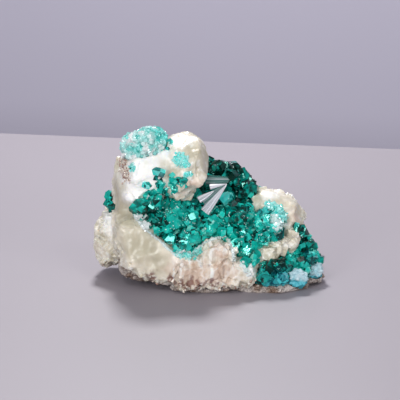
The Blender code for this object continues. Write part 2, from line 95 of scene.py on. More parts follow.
# One crystal, in mm: tone goes from dark to bright, and blue from green to cyan.
Crystal = namedtuple("Crystal", "tip axis radius length spin tone blue")

# Seeds of the random draws, so that every run gives the same specimen.
SEEDS = {
    "crust places": 40, "crust": 50, "crust tones": 70,
    "large": 49, "climbing": 46, "climbing places": 47,
    "cap places": 60, "cap": 61, "cap tones": 62,
    "rim places": 80, "rim": 81, "rim tones": 82,
    "patch places": 90, "patches": 110, "patch tones": 130,
    "crumb places": 150, "crumbs": 151, "crumb tones": 152, "edge places": 153,
    "speck places": 160, "specks": 161, "speck tones": 162,
    "spear": 170,
}


def linear(hex_colour):
    """An sRGB hex colour as linear RGBA."""
    values = [int(hex_colour[i : i + 2], 16) / 255 for i in (1, 3, 5)]
    return [v / 12.92 if v < 0.04045 else ((v + 0.055) / 1.055) ** 2.4 for v in values] + [1]


class SpecimenSettings(PropertyGroup):
    grain: FloatProperty(
        name="Rock grain",
        description="Size of the rock surface's smallest faces",
        default=0.32 * MM,
        unit="LENGTH",
    )
    crystal_small: FloatProperty(
        name="Smallest dioptase",
        description="Radius of the smallest crystals in the crusts",
        default=0.42 * MM,
        unit="LENGTH",
    )
    crystal_large: FloatProperty(
        name="Largest dioptase",
        description="Radius of the largest crystals that are scattered on the crusts",
        default=1.35 * MM,
        unit="LENGTH",
    )
    crystal_tries: IntProperty(
        name="Dioptase tries",
        description="How many places are tried for crystals on the main crust",
        default=7000,
    )
    dioptase_deep: FloatVectorProperty(
        name="Deep green",
        description="Dioptase where it is thick and dark",
        subtype="COLOR",
        default=linear("#00241E")[:3],
    )
    dioptase_green: FloatVectorProperty(
        name="Green",
        description="Dioptase in ordinary light",
        subtype="COLOR",
        default=linear("#00AE9F")[:3],
    )
    dioptase_bright: FloatVectorProperty(
        name="Bright green",
        description="Dioptase where light comes through it",
        subtype="COLOR",
        default=linear("#24E6D4")[:3],
    )
    calcite_cream: FloatVectorProperty(
        name="Calcite cream",
        description="The broken calcite's own colour",
        subtype="COLOR",
        default=linear("#E3DBC9")[:3],
    )
    table_colour: FloatVectorProperty(
        name="Table",
        description="The pale board that the specimen stands on",
        subtype="COLOR",
        default=linear("#948E95")[:3],
    )


def settings():
    return bpy.context.scene.specimen


def set_inputs(node, inputs):
    """Gives a node its inputs. An input that is given a socket is linked to it."""
    for key, value in inputs.items():
        if isinstance(value, bpy.types.NodeSocket):
            node.id_data.links.new(value, node.inputs[key])
        else:
            node.inputs[key].default_value = value


def add_node(tree, kind, inputs=None, **values):
    """A shader node with its settings and its inputs."""
    made = tree.nodes.new(kind)
    for key, value in values.items():
        setattr(made, key, value)
    set_inputs(made, inputs or {})
    return made


def new_material(name):
    material = bpy.data.materials.new(name)
    material.use_nodes = True
    tree = material.node_tree
    return material, tree, tree.nodes["Principled BSDF"]


def seen_ray(u, v):
    """The eye and the direction in which it sees a pixel of the photograph, in mm."""
    back = Vector((0, -math.cos(ELEVATION), math.sin(ELEVATION)))
    right = Vector((1, 0, 0))
    up = right.cross(-back)
    x = (u / PHOTO - 0.5) * SENSOR / LENS
    y = (0.5 - v / PHOTO) * SENSOR / LENS
    return AIM + back * DISTANCE, (right * x + up * y - back).normalized()


def surface_tree(objects):
    """A search tree over the objects' faces, in mm."""
    points, faces = [], []
    for obj in objects:
        start = len(points)
        points += [v.co / MM for v in obj.data.vertices]
        faces += [tuple(start + i for i in p.vertices) for p in obj.data.polygons]
    return BVHTree.FromPolygons(points, faces)


def seen_place(surface, pixel):
    """The point and the normal, in mm, that a pixel of the photograph shows."""
    point, normal = surface.ray_cast(*seen_ray(*pixel))[:2]
    if point is None:
        raise RuntimeError(f"pixel {pixel} misses the specimen")
    return point, normal


def object_of(name, data):
    obj = bpy.data.objects.new(name, data)
    bpy.context.scene.collection.objects.link(obj)
    return obj


def evaluated(obj):
    """Replaces the object's mesh with what its modifiers make of it."""
    bpy.context.view_layer.update()
    graph = bpy.context.evaluated_depsgraph_get()
    mesh = bpy.data.meshes.new_from_object(obj.evaluated_get(graph), depsgraph=graph)
    obj.modifiers.clear()
    obj.data = mesh


def remade(obj, voxel):
    """Remakes the object's skin in small even faces."""
    step = obj.modifiers.new("skin", "REMESH")
    step.mode = "VOXEL"
    step.voxel_size = voxel
    evaluated(obj)


def relaxed(obj, rounds):
    """Smooths the object's skin, as often as there are rounds."""
    step = obj.modifiers.new("relaxed", "SMOOTH")
    step.factor = 0.5
    step.iterations = rounds
    evaluated(obj)


def skin(name, nodes, voxel):
    """One closed skin of small even faces over copies of the CAD nodes, in mm."""
    bm = bmesh.new()
    for node in nodes:
        bm.from_mesh(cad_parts[node].data)
    bmesh.ops.scale(bm, vec=(1 / MM, 1 / MM, 1 / MM), verts=bm.verts)
    mesh = bpy.data.meshes.new(name)
    bm.to_mesh(mesh)
    bm.free()
    obj = object_of(name, mesh)
    remade(obj, voxel)
    return obj


def vectors_of(items, name):
    """An array with a row of three numbers for each item of a mesh."""
    flat = np.empty(len(items) * 3)
    items.foreach_get(name, flat)
    return flat.reshape(-1, 3)


def points_of(mesh):
    return vectors_of(mesh.vertices, "co")


def normals_of(mesh):
    return vectors_of(mesh.vertex_normals, "vector")


def set_points(mesh, points):
    mesh.vertices.foreach_set("co", np.asarray(points).ravel())
    mesh.update()


def raised(obj, height):
    """Moves each point of the skin out along its normal, in mm."""
    mesh = obj.data
    moved = np.broadcast_to(height, len(mesh.vertices))
    set_points(mesh, points_of(mesh) + normals_of(mesh) * moved[:, None])


def closed_up(obj, reach, voxel):
    """Fills the grooves between lumps: swells the skin, remakes it and draws it back."""
    raised(obj, reach)
    remade(obj, 2 * voxel)
    raised(obj, -reach)
    remade(obj, voxel)


def set_values(mesh, name, values, domain="POINT"):
    made = mesh.attributes.new(name, "FLOAT", domain)
    made.data.foreach_set("value", np.asarray(values, float))


def fractal(points, size, octaves=3, shift=0.0):
    """Smooth noise from about -1 to 1 at each point, with features of a size in mm."""
    offset = Vector((shift, shift * 0.7, -shift))
    return np.array(
        [noise.fractal(Vector(p) / size + offset, 0.9, 2.0, octaves) for p in points]
    )


def chips(points, size, tilt, shift=0.0):
    """Height of flat breaks: each cell of rock is cut by a plane of its own, in mm."""
    heights = np.empty(len(points))
    offset = Vector((shift, -shift, shift * 0.3))
    for i, p in enumerate(points):
        place = Vector(p) / size + offset
        centre = noise.voronoi(place)[1][0]
        slant = noise.cell_vector(centre * 7.3) * 2 - Vector((1, 1, 1))
        heights[i] = (place - centre).dot(slant) * size * tilt
    return heights


def cleaved(points, normals, grain, step, share):
    """Draws each point towards the nearest cleavage plane of its grain, all in mm."""
    moved = points.copy()
    planes = {}
    for i, p in enumerate(points):
        centre = noise.voronoi(Vector(p) / grain)[1][0]
        key = tuple(centre)
        if key not in planes:
            turn = Euler(noise.cell_vector(centre * 3.1) * math.tau).to_matrix()
            planes[key] = [turn @ plane for plane in CLEAVAGE]
        facing = max(planes[key], key=lambda plane: abs(plane.dot(normals[i])))
        depth = facing.dot(Vector(p))
        off = depth - round(depth / step) * step
        moved[i] -= np.array(facing) * off * share[i]
    return moved


def smooth_step(values, low, high):
    share = np.clip((np.asarray(values) - low) / (high - low), 0, 1)
    return share * share * (3 - 2 * share)


def put_in_place(obj, material, slot, *nodes, sharp_edge=None):
    """Scales a piece from mm, keeps it in the CAD box, and hands it to the frame.

    Its faces are shaded smooth up to edges as sharp as the angle given, or else flat.
    """
    mesh = obj.data
    low, high = (np.array(corner) for corner in CAD_BOX)
    set_points(mesh, np.clip(points_of(mesh) * MM, low, high))
    if sharp_edge:
        mesh.shade_smooth()
        mesh.set_sharp_from_angle(angle=sharp_edge)
    else:
        mesh.shade_flat()
    mesh.materials.clear()
    mesh.materials.append(material)
    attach(obj, BODY)
    if nodes:
        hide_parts(*nodes)


# What the photograph shows on the calcite: for each mask, the places that it covers, as
# the pixel (right, down) and the radius in mm.
STAINS = {
    # The white places are white calcite, and in part painted highlight where the lamps fall
    # brightest, on the boulder's upper left and the knob's top.
    "white": [
        ((134, 176), 6.0), ((142, 187), 5.0), ((128, 182), 3.5), ((150, 176), 4.5),
        ((132, 192), 4.0), ((152, 162), 4.0), ((175, 143), 2.6), ((163, 152), 3.4),
        ((107, 220), 2.4), ((141, 221), 1.5), ((280, 225), 2.0), ((252, 264), 2.4),
        ((270, 195), 2.0),
    ],
    "olive": [
        ((118, 195), 3.0), ((121, 206), 3.0), ((125, 218), 2.6), ((171, 172), 1.6),
        ((188, 186), 2.0), ((206, 152), 2.4), ((192, 152), 2.6), ((139, 246), 4.0),
        ((160, 262), 3.4), ((272, 250), 2.6),
    ],
    "pink": [
        ((184, 268), 4.5), ((200, 272), 4.0), ((222, 250), 3.0), ((222, 272), 4.0),
        ((192, 188), 2.4), ((186, 196), 1.8), ((298, 217), 2.4),
    ],
    "iron": [
        ((183, 284), 2.4), ((196, 287), 2.6), ((212, 286), 2.4), ((172, 281), 2.0),
        ((152, 276), 2.0), ((124, 158), 1.5), ((123, 168), 1.7), ((126, 176), 1.5),
    ],
    "teal": [
        ((181, 160), 1.9), ((133, 168), 0.9), ((188, 174), 0.9), ((146, 184), 0.9),
        ((277, 212), 1.6), ((186, 252), 1.3), ((196, 251), 1.2),
    ],
}
SPECKLED = ("iron", "teal")
RIND = 2.6  # mm that the iron stain reaches up from the table


def distances(points, surface, pixel):
    """How far each point is from the place that a pixel shows, in mm."""
    return np.linalg.norm(points - np.array(seen_place(surface, pixel)[0]), axis=1)


def nearness(points, surface, pixel, radius, reach=1.6):
    """1 around the place that a pixel shows, and 0 as many radii away as the reach says."""
    return smooth_step(reach - distances(points, surface, pixel) / radius, 0, 1)


def stain_masks(points, surface):
    """How strongly each mask covers each point: clouded, or in specks."""
    cloud = fractal(points, size=3.0, octaves=4, shift=5.0)
    speck = fractal(points, size=0.8, shift=8.0)
    masks = {}
    for name, places in STAINS.items():
        masks[name] = np.zeros(len(points))
        for pixel, radius in places:
            away = distances(points, surface, pixel) / radius
            cover = smooth_step(1.5 - away + cloud * 0.5, 0.0, 1.2)
            masks[name] = np.maximum(masks[name], cover)
    foot = smooth_step(RIND - points[:, 2] + cloud * 1.2, 0, 2.4)
    masks["iron"] = np.maximum(masks["iron"], 0.75 * foot)
    for name in SPECKLED:
        masks[name] = smooth_step(masks[name] + speck * 0.9, 0.6, 1.0) * masks[name]
    return masks


def calcite_material():
    """Calcite, broken along its cleavage: waxy and cloudy, so light sinks in and glows."""
    material, tree, shader = new_material("Calcite, cleaved")
    cloud, mottle, grit = 4.5, 1.1, 0.28  # mm
    place = add_node(tree, "ShaderNodeTexCoord").outputs["Object"]
    inputs = {"Vector": place, "Scale": 1 / (cloud * MM), "Detail": 4.0}
    clouds = add_node(tree, "ShaderNodeTexNoise", inputs).outputs["Fac"]
    inputs = {"Value": clouds, "From Min": 0.35, "From Max": 0.62}
    share = add_node(tree, "ShaderNodeMapRange", inputs).outputs["Result"]
    inputs = {"Factor": share, 6: linear("#C3BDA8"), 7: (*settings().calcite_cream, 1)}
    colour = add_node(tree, "ShaderNodeMix", inputs, data_type="RGBA").outputs[2]
    inputs = {"Vector": place, "Scale": 1 / (mottle * MM), "Detail": 5.0, "Roughness": 0.65}
    mottles = add_node(tree, "ShaderNodeTexNoise", inputs).outputs["Fac"]
    inputs = {"Value": mottles, "From Min": 0.46, "From Max": 0.66, "To Max": 0.85}
    share = add_node(tree, "ShaderNodeMapRange", inputs).outputs["Result"]
    broken = add_node(tree, "ShaderNodeAttribute", attribute_name="broken").outputs["Fac"]
    inputs = {0: share, 1: broken}
    share = add_node(tree, "ShaderNodeMath", inputs, operation="MULTIPLY").outputs[0]
    inputs = {"Factor": share, 6: colour, 7: linear("#F6F4EA")}
    colour = add_node(tree, "ShaderNodeMix", inputs, data_type="RGBA").outputs[2]
    shades = {
        "olive": "#B7B098",
        "pink": "#DAC5B4",
        "tan": "#B99C86",
        # Painted shade, for the relief's hollows.
        "hollow_shade": "#A08C76",
        # White calcite, and in part painted highlight where the lamps fall brightest.
        "white": "#FAFCF9",
        "iron": "#74453A",
        "teal": "#74EEE8",
    }
    for name, hex_colour in shades.items():
        mask = add_node(tree, "ShaderNodeAttribute", attribute_name=name).outputs["Fac"]
        inputs = {0: mask, 1: 0.85}
        share = add_node(tree, "ShaderNodeMath", inputs, operation="MULTIPLY").outputs[0]
        inputs = {"Factor": share, 6: colour, 7: linear(hex_colour)}
        colour = add_node(tree, "ShaderNodeMix", inputs, data_type="RGBA").outputs[2]
    inputs = {"Vector": place, "Scale": 1 / (grit * MM), "Detail": 3.0}
    fine = add_node(tree, "ShaderNodeTexNoise", inputs).outputs["Fac"]
    inputs = {"Height": fine, "Strength": 0.6, "Distance": 0.06 * MM}
    bump = add_node(tree, "ShaderNodeBump", inputs).outputs["Normal"]
    finish = {
        "Base Color": colour,
        "Roughness": 0.3,
        "IOR": 1.6,
        "Subsurface Weight": 0.4,
        "Subsurface Radius": (1.0, 0.85, 0.65),
        "Subsurface Scale": 1.2 * MM,
        "Normal": bump,
    }
    set_inputs(shader, finish)
    return material


class SPECIMEN_OT_calcite(Operator):
    """The broken calcite, with flat chips, cleavage lines, grain and stains"""

    bl_idname = "specimen.calcite"
    bl_label = "Calcite"

    groove_reach = 0.7  # mm
    sharp_edge = math.radians(30)
    boulder_foot = (22.0, 27.0)  # mm up, where the broken rock gives way to the smooth boulder
    breakage = 0.85  # how broken the rock is, from 0 to 1
    boulder_calm = 0.65  # how much less of that the boulder has
    calmed = 0.8  # share of it that the calm places lose
    crumbled = (6.0, 1.5)  # mm up, where the crumbled foot starts and where it is full
    cleavages = [(9.0, 1.8, 0.9), (4.0, 0.8, 0.35)]  # grain and step in mm, and how fully
    # Places: the pixel and the radius in mm, and for a dent the depth in mm. The blocks are
    # streaked along their cleavage, and the calm places are hardly broken.
    blocks = [((218, 264), 5.0), ((186, 272), 3.5)]
    calm = [
        ((138, 236), 6.0), ((150, 250), 5.0), ((119, 200), 4.5), ((160, 262), 4.0),
        ((272, 196), 4.0), ((290, 206), 4.5),
    ]
    dents = [((203, 190), 3.0, 2.0), ((193, 198), 2.8, 2.0), ((304, 219), 2.6, 1.2)]

    def execute(self, context):
        grain = settings().grain / MM
        obj = skin("calcite_rock", ["calcite_matrix"], grain)
        closed_up(obj, self.groove_reach, grain)
        relaxed(obj, rounds=1)
        points, normals = points_of(obj.data), normals_of(obj.data)
        surface = surface_tree([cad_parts["calcite_matrix"]])
        for pixel, radius, depth in self.dents:
            near = nearness(points, surface, pixel, radius, 1.5)
            points -= normals * (depth * near)[:, None]
        streaked = np.zeros(len(points))
        for place in self.blocks:
            streaked = np.maximum(streaked, nearness(points, surface, *place))
        boulder = smooth_step(points[:, 2], *self.boulder_foot)
        broken = self.breakage - self.boulder_calm * boulder
        for place in self.calm:
            broken *= 1 - self.calmed * nearness(points, surface, *place)
        moved = points
        for size, step, share in self.cleavages:
            moved = cleaved(moved, normals, size, step, share * broken)
        # The relief in mm: swells, grain, flat chips, the blocks' streaks and the foot's crumbs.
        height = fractal(points, size=3.4) * 0.12
        height += fractal(points, size=0.8, octaves=2, shift=9.0) * 0.1 * (0.2 + broken)
        height += chips(points, size=2.6, tilt=0.05, shift=3.0) * broken
        streaks = fractal(points * (1.0, 1.0, 0.1), size=1.1, shift=2.0)
        height += streaks * 0.12 * streaked
        low = smooth_step(points[:, 2], *self.crumbled)
        height += fractal(points, size=1.0, shift=4.0) * 0.28 * low
        set_points(obj.data, moved + normals * height[:, None])
        masks = stain_masks(points, surface)
        # Frosted white chips and streaks, and painted shade in the hollows, over what the
        # photograph shows.
        frost = smooth_step(fractal(points, size=1.3, shift=12.0), 0.1, 0.6)
        frost *= 0.08 + 0.45 * np.maximum(broken, boulder)
        lines = smooth_step(streaks, 0.1, 0.6) * streaked
        masks["white"] = np.maximum(masks["white"], np.maximum(frost, lines))
        shade = smooth_step(fractal(points, size=2.0, octaves=4, shift=15.0), 0.1, 0.6)
        masks["olive"] = np.maximum(masks["olive"], shade * (0.2 + 0.6 * broken))
        masks["broken"] = smooth_step(broken, 0.05, 0.6)
        masks["tan"] = 0.7 * smooth_step(-streaks, 0.1, 0.6) * streaked
        # Painted shade: the hollows of the relief are darkened, less so on the boulder.
        masks["hollow_shade"] = smooth_step(-height, 0.08, 0.4) * (1 - 0.7 * boulder)
        for name, values in masks.items():
            set_values(obj.data, name, values)
        material = calcite_material()
        put_in_place(obj, material, "calcite_cream", "calcite_matrix", sharp_edge=self.sharp_edge)
        return {"FINISHED"}


def host_material():
    """Limonitic host rock, broken: dull brown and grey grains with no shine."""
    material, tree, shader = new_material("Iron-stained rock, broken")
    patch, grains = 3.5, 0.5  # mm, the grains drawn coarser than real so that they show
    place = add_node(tree, "ShaderNodeTexCoord").outputs["Object"]
    inputs = {"Vector": place, "Scale": 1 / (patch * MM), "Detail": 6.0}
    patches = add_node(tree, "ShaderNodeTexNoise", inputs).outputs["Fac"]
    inputs = {"Value": patches, "From Min": 0.4, "From Max": 0.6}
    share = add_node(tree, "ShaderNodeMapRange", inputs).outputs["Result"]
    inputs = {"Factor": share, 6: linear("#78604F"), 7: linear("#B3ABA6")}
    colour = add_node(tree, "ShaderNodeMix", inputs, data_type="RGBA").outputs[2]
    inputs = {"Vector": place, "Scale": 1 / (grains * MM), "Detail": 3.0, "Roughness": 0.8}
    specks = add_node(tree, "ShaderNodeTexNoise", inputs).outputs["Fac"]
    for hex_colour, low, high in (("#D6CDC4", 0.54, 0.66), ("#3C2F2E", 0.46, 0.36)):
        inputs = {"Value": specks, "From Min": low, "From Max": high}
        share = add_node(tree, "ShaderNodeMapRange", inputs).outputs["Result"]
        inputs = {"Factor": share, 6: colour, 7: linear(hex_colour)}
        colour = add_node(tree, "ShaderNodeMix", inputs, data_type="RGBA").outputs[2]
    set_inputs(shader, {"Base Color": colour, "Roughness": 0.8})
    return material


class SPECIMEN_OT_host_rock(Operator):
    """The thin brown rock that the calcite stands on"""

    bl_idname = "specimen.host_rock"
    bl_label = "Host rock"

    flat_foot = 0.8  # mm up from the flat underside, where the relief is full

    def execute(self, context):
        obj = skin("host_rock_broken", ["host_rock"], settings().grain / MM)
        relaxed(obj, rounds=2)
        points = points_of(obj.data)
        height = chips(points, size=2.2, tilt=0.25, shift=6.0)
        height += fractal(points, size=1.2, octaves=4, shift=2.0) * 0.3
        raised(obj, height * smooth_step(points[:, 2], 0.0, self.flat_foot))
        put_in_place(obj, host_material(), "iron_stained_rock", "host_rock")
        return {"FINISHED"}


def crystal_shapes(crystals, seed, contrast):
    """Points, faces and the tone and blue of each face, for a list of crystals."""
    tips = np.array([c.tip for c in crystals], float)
    axes = np.array([c.axis for c in crystals], float)
    radii = np.array([c.radius for c in crystals])
    lengths = np.array([c.length for c in crystals])
    spins = np.array([c.spin for c in crystals])
    axes /= np.linalg.norm(axes, axis=1)[:, None]
    helper = np.where(np.abs(axes[:, 2:]) < 0.9, [[0, 0, 1]], [[1, 0, 0]])
    right = np.cross(axes, helper)
    right /= np.linalg.norm(right, axis=1)[:, None]
    ahead = np.cross(axes, right)
    fall = math.tan(TIP_SLOPE)
    rings = [tips]
    for foot in (False, True):
        for i, angle in enumerate(PRISM_ANGLES):
            turn = angle + spins
            out = right * np.cos(turn)[:, None] + ahead * np.sin(turn)[:, None]
            drop = lengths if foot else radii * fall * (0.5 if i % 2 == 0 else 1.0)
            rings.append(tips + out * radii[:, None] - axes * drop[:, None])
    points = np.stack(rings, axis=1).reshape(-1, 3)
    faces = [
        tuple(CORNERS * i + j for j in face)
        for i in range(len(crystals))
        for face in CRYSTAL_FACES
    ]
    rng = np.random.default_rng(seed)
    face_count = len(CRYSTAL_FACES)
    tones = np.repeat([c.tone for c in crystals], face_count)
    tones = tones + rng.normal(0, contrast, len(tones))
    return points, faces, tones, np.repeat([c.blue for c in crystals], face_count)


def node_shapes(nodes, tone_at):
    """Points, faces and face tones of copies of the CAD nodes, in mm, one tone a flat facet."""
    slants, layer = 25, 0.5  # how finely facets are told apart, by slant and by mm of height
    contrast = 0.7
    points, faces, tones, blues = [], [], [], []
    for node in nodes:
        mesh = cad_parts[node].data
        start = len(points)
        points += [v.co / MM for v in mesh.vertices]
        for face in mesh.polygons:
            faces.append(tuple(start + i for i in face.vertices))
            centre, normal = face.center / MM, face.normal
            height = normal.dot(centre) / layer
            facet = Vector((normal.x * slants, normal.y * slants, height))
            tone, blue = tone_at(centre)
            tones.append(tone + (noise.cell(facet) - 0.5) * contrast)
            blues.append(blue)
    return np.array(points), faces, tones, blues


def joined(name, *shapes):
    """One mesh of several groups of faces, with outward faces and their tones."""
    points, faces, tones, blues = [], [], [], []
    for some_points, some_faces, some_tones, some_blues in shapes:
        start = len(points)
        points += [tuple(p) for p in some_points]
        faces += [tuple(start + i for i in face) for face in some_faces]
        tones += list(some_tones)
        blues += list(some_blues)
    mesh = bpy.data.meshes.new(name)
    mesh.from_pydata(points, [], faces)
    set_values(mesh, "tone", tones, "FACE")
    set_values(mesh, "blue", blues, "FACE")
    bm = bmesh.new()
    bm.from_mesh(mesh)
    bmesh.ops.recalc_face_normals(bm, faces=bm.faces)
    bm.to_mesh(mesh)
    bm.free()
    return object_of(name, mesh)


def spread_out(crystals, closeness):
    """Keeps the crystals that don't crowd an earlier one."""
    cell = 2.6  # mm, at least the widest distance that is compared
    kept, grid = [], {}
    for item in crystals:
        key = tuple(int(math.floor(c / cell)) for c in item.tip)
        near = [
            other
            for dx in (-1, 0, 1)
            for dy in (-1, 0, 1)
            for dz in (-1, 0, 1)
            for other in grid.get((key[0] + dx, key[1] + dy, key[2] + dz), ())
        ]
        if all((item.tip - o.tip).length > closeness * (item.radius + o.radius) for o in near):
            grid.setdefault(key, []).append(item)
            kept.append(item)
    return kept


def surface_places(obj, tries, seed):
    """Random places on a piece's surface, even by area: point and normal, in mm."""
    rng = np.random.default_rng(seed)
    mesh = obj.data
    mesh.calc_loop_triangles()
    corners = np.array([t.vertices[:] for t in mesh.loop_triangles])
    points, normals = points_of(mesh), normals_of(mesh)
    a, b, c = (points[corners[:, i]] for i in range(3))
    areas = np.linalg.norm(np.cross(b - a, c - a), axis=1)
    picked = rng.choice(len(areas), tries, p=areas / areas.sum())
    s, t = rng.random(tries), rng.random(tries)
    over = s + t > 1
    s[over], t[over] = 1 - s[over], 1 - t[over]
    where = a[picked] + s[:, None] * (b - a)[picked] + t[:, None] * (c - a)[picked]
    facing = sum(normals[corners[picked, i]] for i in range(3))
    facing /= np.linalg.norm(facing, axis=1)[:, None]
    return [(Vector(p), Vector(n)) for p, n in zip(where, facing)]


def seen_places(surface, line, spread, count, seed):
    """Places scattered along a line of pixels, within a spread in pixels: point and normal."""
    rng = np.random.default_rng(seed)
    line = np.array(line, float)
    reach = np.concatenate([[0], np.cumsum(np.linalg.norm(np.diff(line, axis=0), axis=1))])
    found = []
    for share in rng.random(count) * reach[-1]:
        u, v = (np.interp(share, reach, line[:, i]) + rng.normal(0, spread) for i in (0, 1))
        point, normal = surface.ray_cast(*seen_ray(u, v))[:2]
        if point is not None:
            found.append((point, normal))
    return found


def standing(foot, axis, radius, proud, spin, tone, blue, sunk):
    """A crystal that stands proud mm out of its foot, and reaches sunk radii down into it."""
    return Crystal(foot + axis * proud, axis, radius, proud + sunk * radius, spin, tone, blue)


def tiny_crystals(places, sizes, lean, tones, blue, seed):
    """Small crystals that stand on places, of radii in mm and tones between two values."""
    rng = np.random.default_rng(seed)
    grown = []
    for point, normal in places:
        radius = rng.uniform(*sizes)
        axis = (normal + Vector(rng.normal(0, lean, 3))).normalized()
        proud = radius * rng.uniform(0.5, 1.6)
        spin, tone = rng.uniform(0, math.tau), rng.uniform(*tones)
        bluer = min(blue * rng.uniform(0.5, 1.3), 1.0)
        grown.append(standing(point, axis, radius, proud, spin, tone, bluer, sunk=2))
    return grown


# Lighter and darker parts of the crusts: the pixel, the radius in mm, and what is added
# to the tone and to the blue there.
CRUST_PARTS = [
    ((228, 168), 5.0, -0.5, 0.0), ((240, 176), 4.0, -0.5, 0.0), ((215, 172), 3.0, -0.45, 0.0),
    ((246, 190), 3.0, -0.4, 0.0), ((242, 206), 2.2, -0.25, 0.0), ((160, 190), 2.2, -0.2, 0.0),
    ((150, 212), 2.5, -0.2, 0.0), ((166, 214), 2.4, -0.15, 0.0), ((190, 205), 2.4, 0.1, 0.1),
    ((175, 185), 2.5, 0.25, 0.1), ((188, 222), 3.4, 0.2, 0.1), ((214, 222), 3.2, 0.2, 0.0),
    ((230, 238), 3.0, 0.1, 0.0), ((256, 212), 3.0, 0.25, 0.15), ((270, 212), 3.0, 0.4, 0.35),
    ((272, 228), 2.6, 0.3, 0.3), ((252, 232), 3.0, 0.15, 0.1), ((180, 238), 2.6, 0.05, 0.15),
    ((250, 255), 2.0, 0.15, 0.0), ((275, 264), 3.4, -0.6, 0.0), ((284, 248), 2.4, -0.2, 0.0),
    ((298, 234), 3.2, -0.4, 0.0), ((302, 248), 3.0, -0.35, 0.0), ((313, 260), 2.0, 0.0, 0.3),
    ((256, 279), 2.8, 0.1, 0.8), ((272, 284), 2.0, -0.1, 0.9), ((286, 280), 2.8, 0.3, 1.0),
    ((226, 199), 1.0, 0.4, 0.6),
]
PLAIN_TONE = 0.5
DARKEST, BRIGHTEST = 0.02, 0.85

# The crusts' largest clean crystals: the pixel, the radius in mm and the tone.
LARGE_CRYSTALS = [
    ((146, 205), 1.7, 0.4), ((156, 203), 1.3, 0.3), ((214, 221), 1.7, 0.75),
    ((230, 236), 1.5, 0.5), ((240, 232), 1.2, 0.6), ((197, 219), 1.2, 0.7),
    ((176, 184), 1.4, 0.7), ((181, 229), 1.2, 0.45), ((256, 216), 1.3, 0.7),
    ((222, 247), 1.1, 0.45), ((245, 246), 1.3, 0.6), ((262, 226), 1.2, 0.7),
    ((272, 265), 1.6, 0.15), ((282, 268), 1.4, 0.1), ((234, 176), 1.5, 0.0),
    ((244, 186), 1.3, 0.05), ((224, 164), 1.2, 0.1),
]


def dioptase_material():
    """Dioptase, grown: clear deep green glass, bright where thin, with mirror-flat faces."""
    material, tree, shader = new_material("Dioptase, grown")
    cloud, step = 1.4, 0.45  # mm
    tone = add_node(tree, "ShaderNodeAttribute", attribute_name="tone").outputs["Fac"]
    blue = add_node(tree, "ShaderNodeAttribute", attribute_name="blue").outputs["Fac"]
    place = add_node(tree, "ShaderNodeTexCoord").outputs["Object"]
    inputs = {"Vector": place, "Scale": 1 / (cloud * MM), "Detail": 4.0}
    clouds = add_node(tree, "ShaderNodeTexNoise", inputs).outputs["Fac"]
    inputs = {"Value": clouds, "From Min": 0.3, "From Max": 0.7, "To Min": -0.25, "To Max": 0.25}
    clouds = add_node(tree, "ShaderNodeMapRange", inputs).outputs["Result"]
    tone = add_node(tree, "ShaderNodeMath", {0: tone, 1: clouds}, operation="ADD").outputs[0]
    chosen = settings()
    colour = (*chosen.dioptase_deep, 1)
    # The tone runs through deep, green and bright dioptase; its highest tones get a painted
    # highlight, pale mint.
    for low, high, brighter in (
        (0.05, 0.5, (*chosen.dioptase_green, 1)),
        (0.5, 1.0, (*chosen.dioptase_bright, 1)),
        (1.0, 1.3, linear("#86EEDC")),
    ):
        inputs = {"Value": tone, "From Min": low, "From Max": high}
        share = add_node(tree, "ShaderNodeMapRange", inputs).outputs["Result"]
        inputs = {"Factor": share, 6: colour, 7: brighter}
        colour = add_node(tree, "ShaderNodeMix", inputs, data_type="RGBA").outputs[2]
    inputs = {"Factor": tone, 6: linear("#04566A"), 7: linear("#52D8E0")}
    bluish = add_node(tree, "ShaderNodeMix", inputs, data_type="RGBA").outputs[2]
    inputs = {"Factor": blue, 6: colour, 7: bluish}
    colour = add_node(tree, "ShaderNodeMix", inputs, data_type="RGBA").outputs[2]
    inputs = {"Vector": place, "Scale": 1 / (step * MM), "Detail": 2.0}
    steps = add_node(tree, "ShaderNodeTexNoise", inputs).outputs["Fac"]
    inputs = {"Height": steps, "Strength": 0.6, "Distance": 0.05 * MM}
    bump = add_node(tree, "ShaderNodeBump", inputs).outputs["Normal"]
    finish = {
        "Base Color": colour,
        "Roughness": 0.06,
        "IOR": 1.66,
        "Specular IOR Level": 0.6,
        "Specular Tint": linear("#A4FFEE"),
        "Transmission Weight": 0.25,
        "Normal": bump,
    }
    set_inputs(shader, finish)
    return material


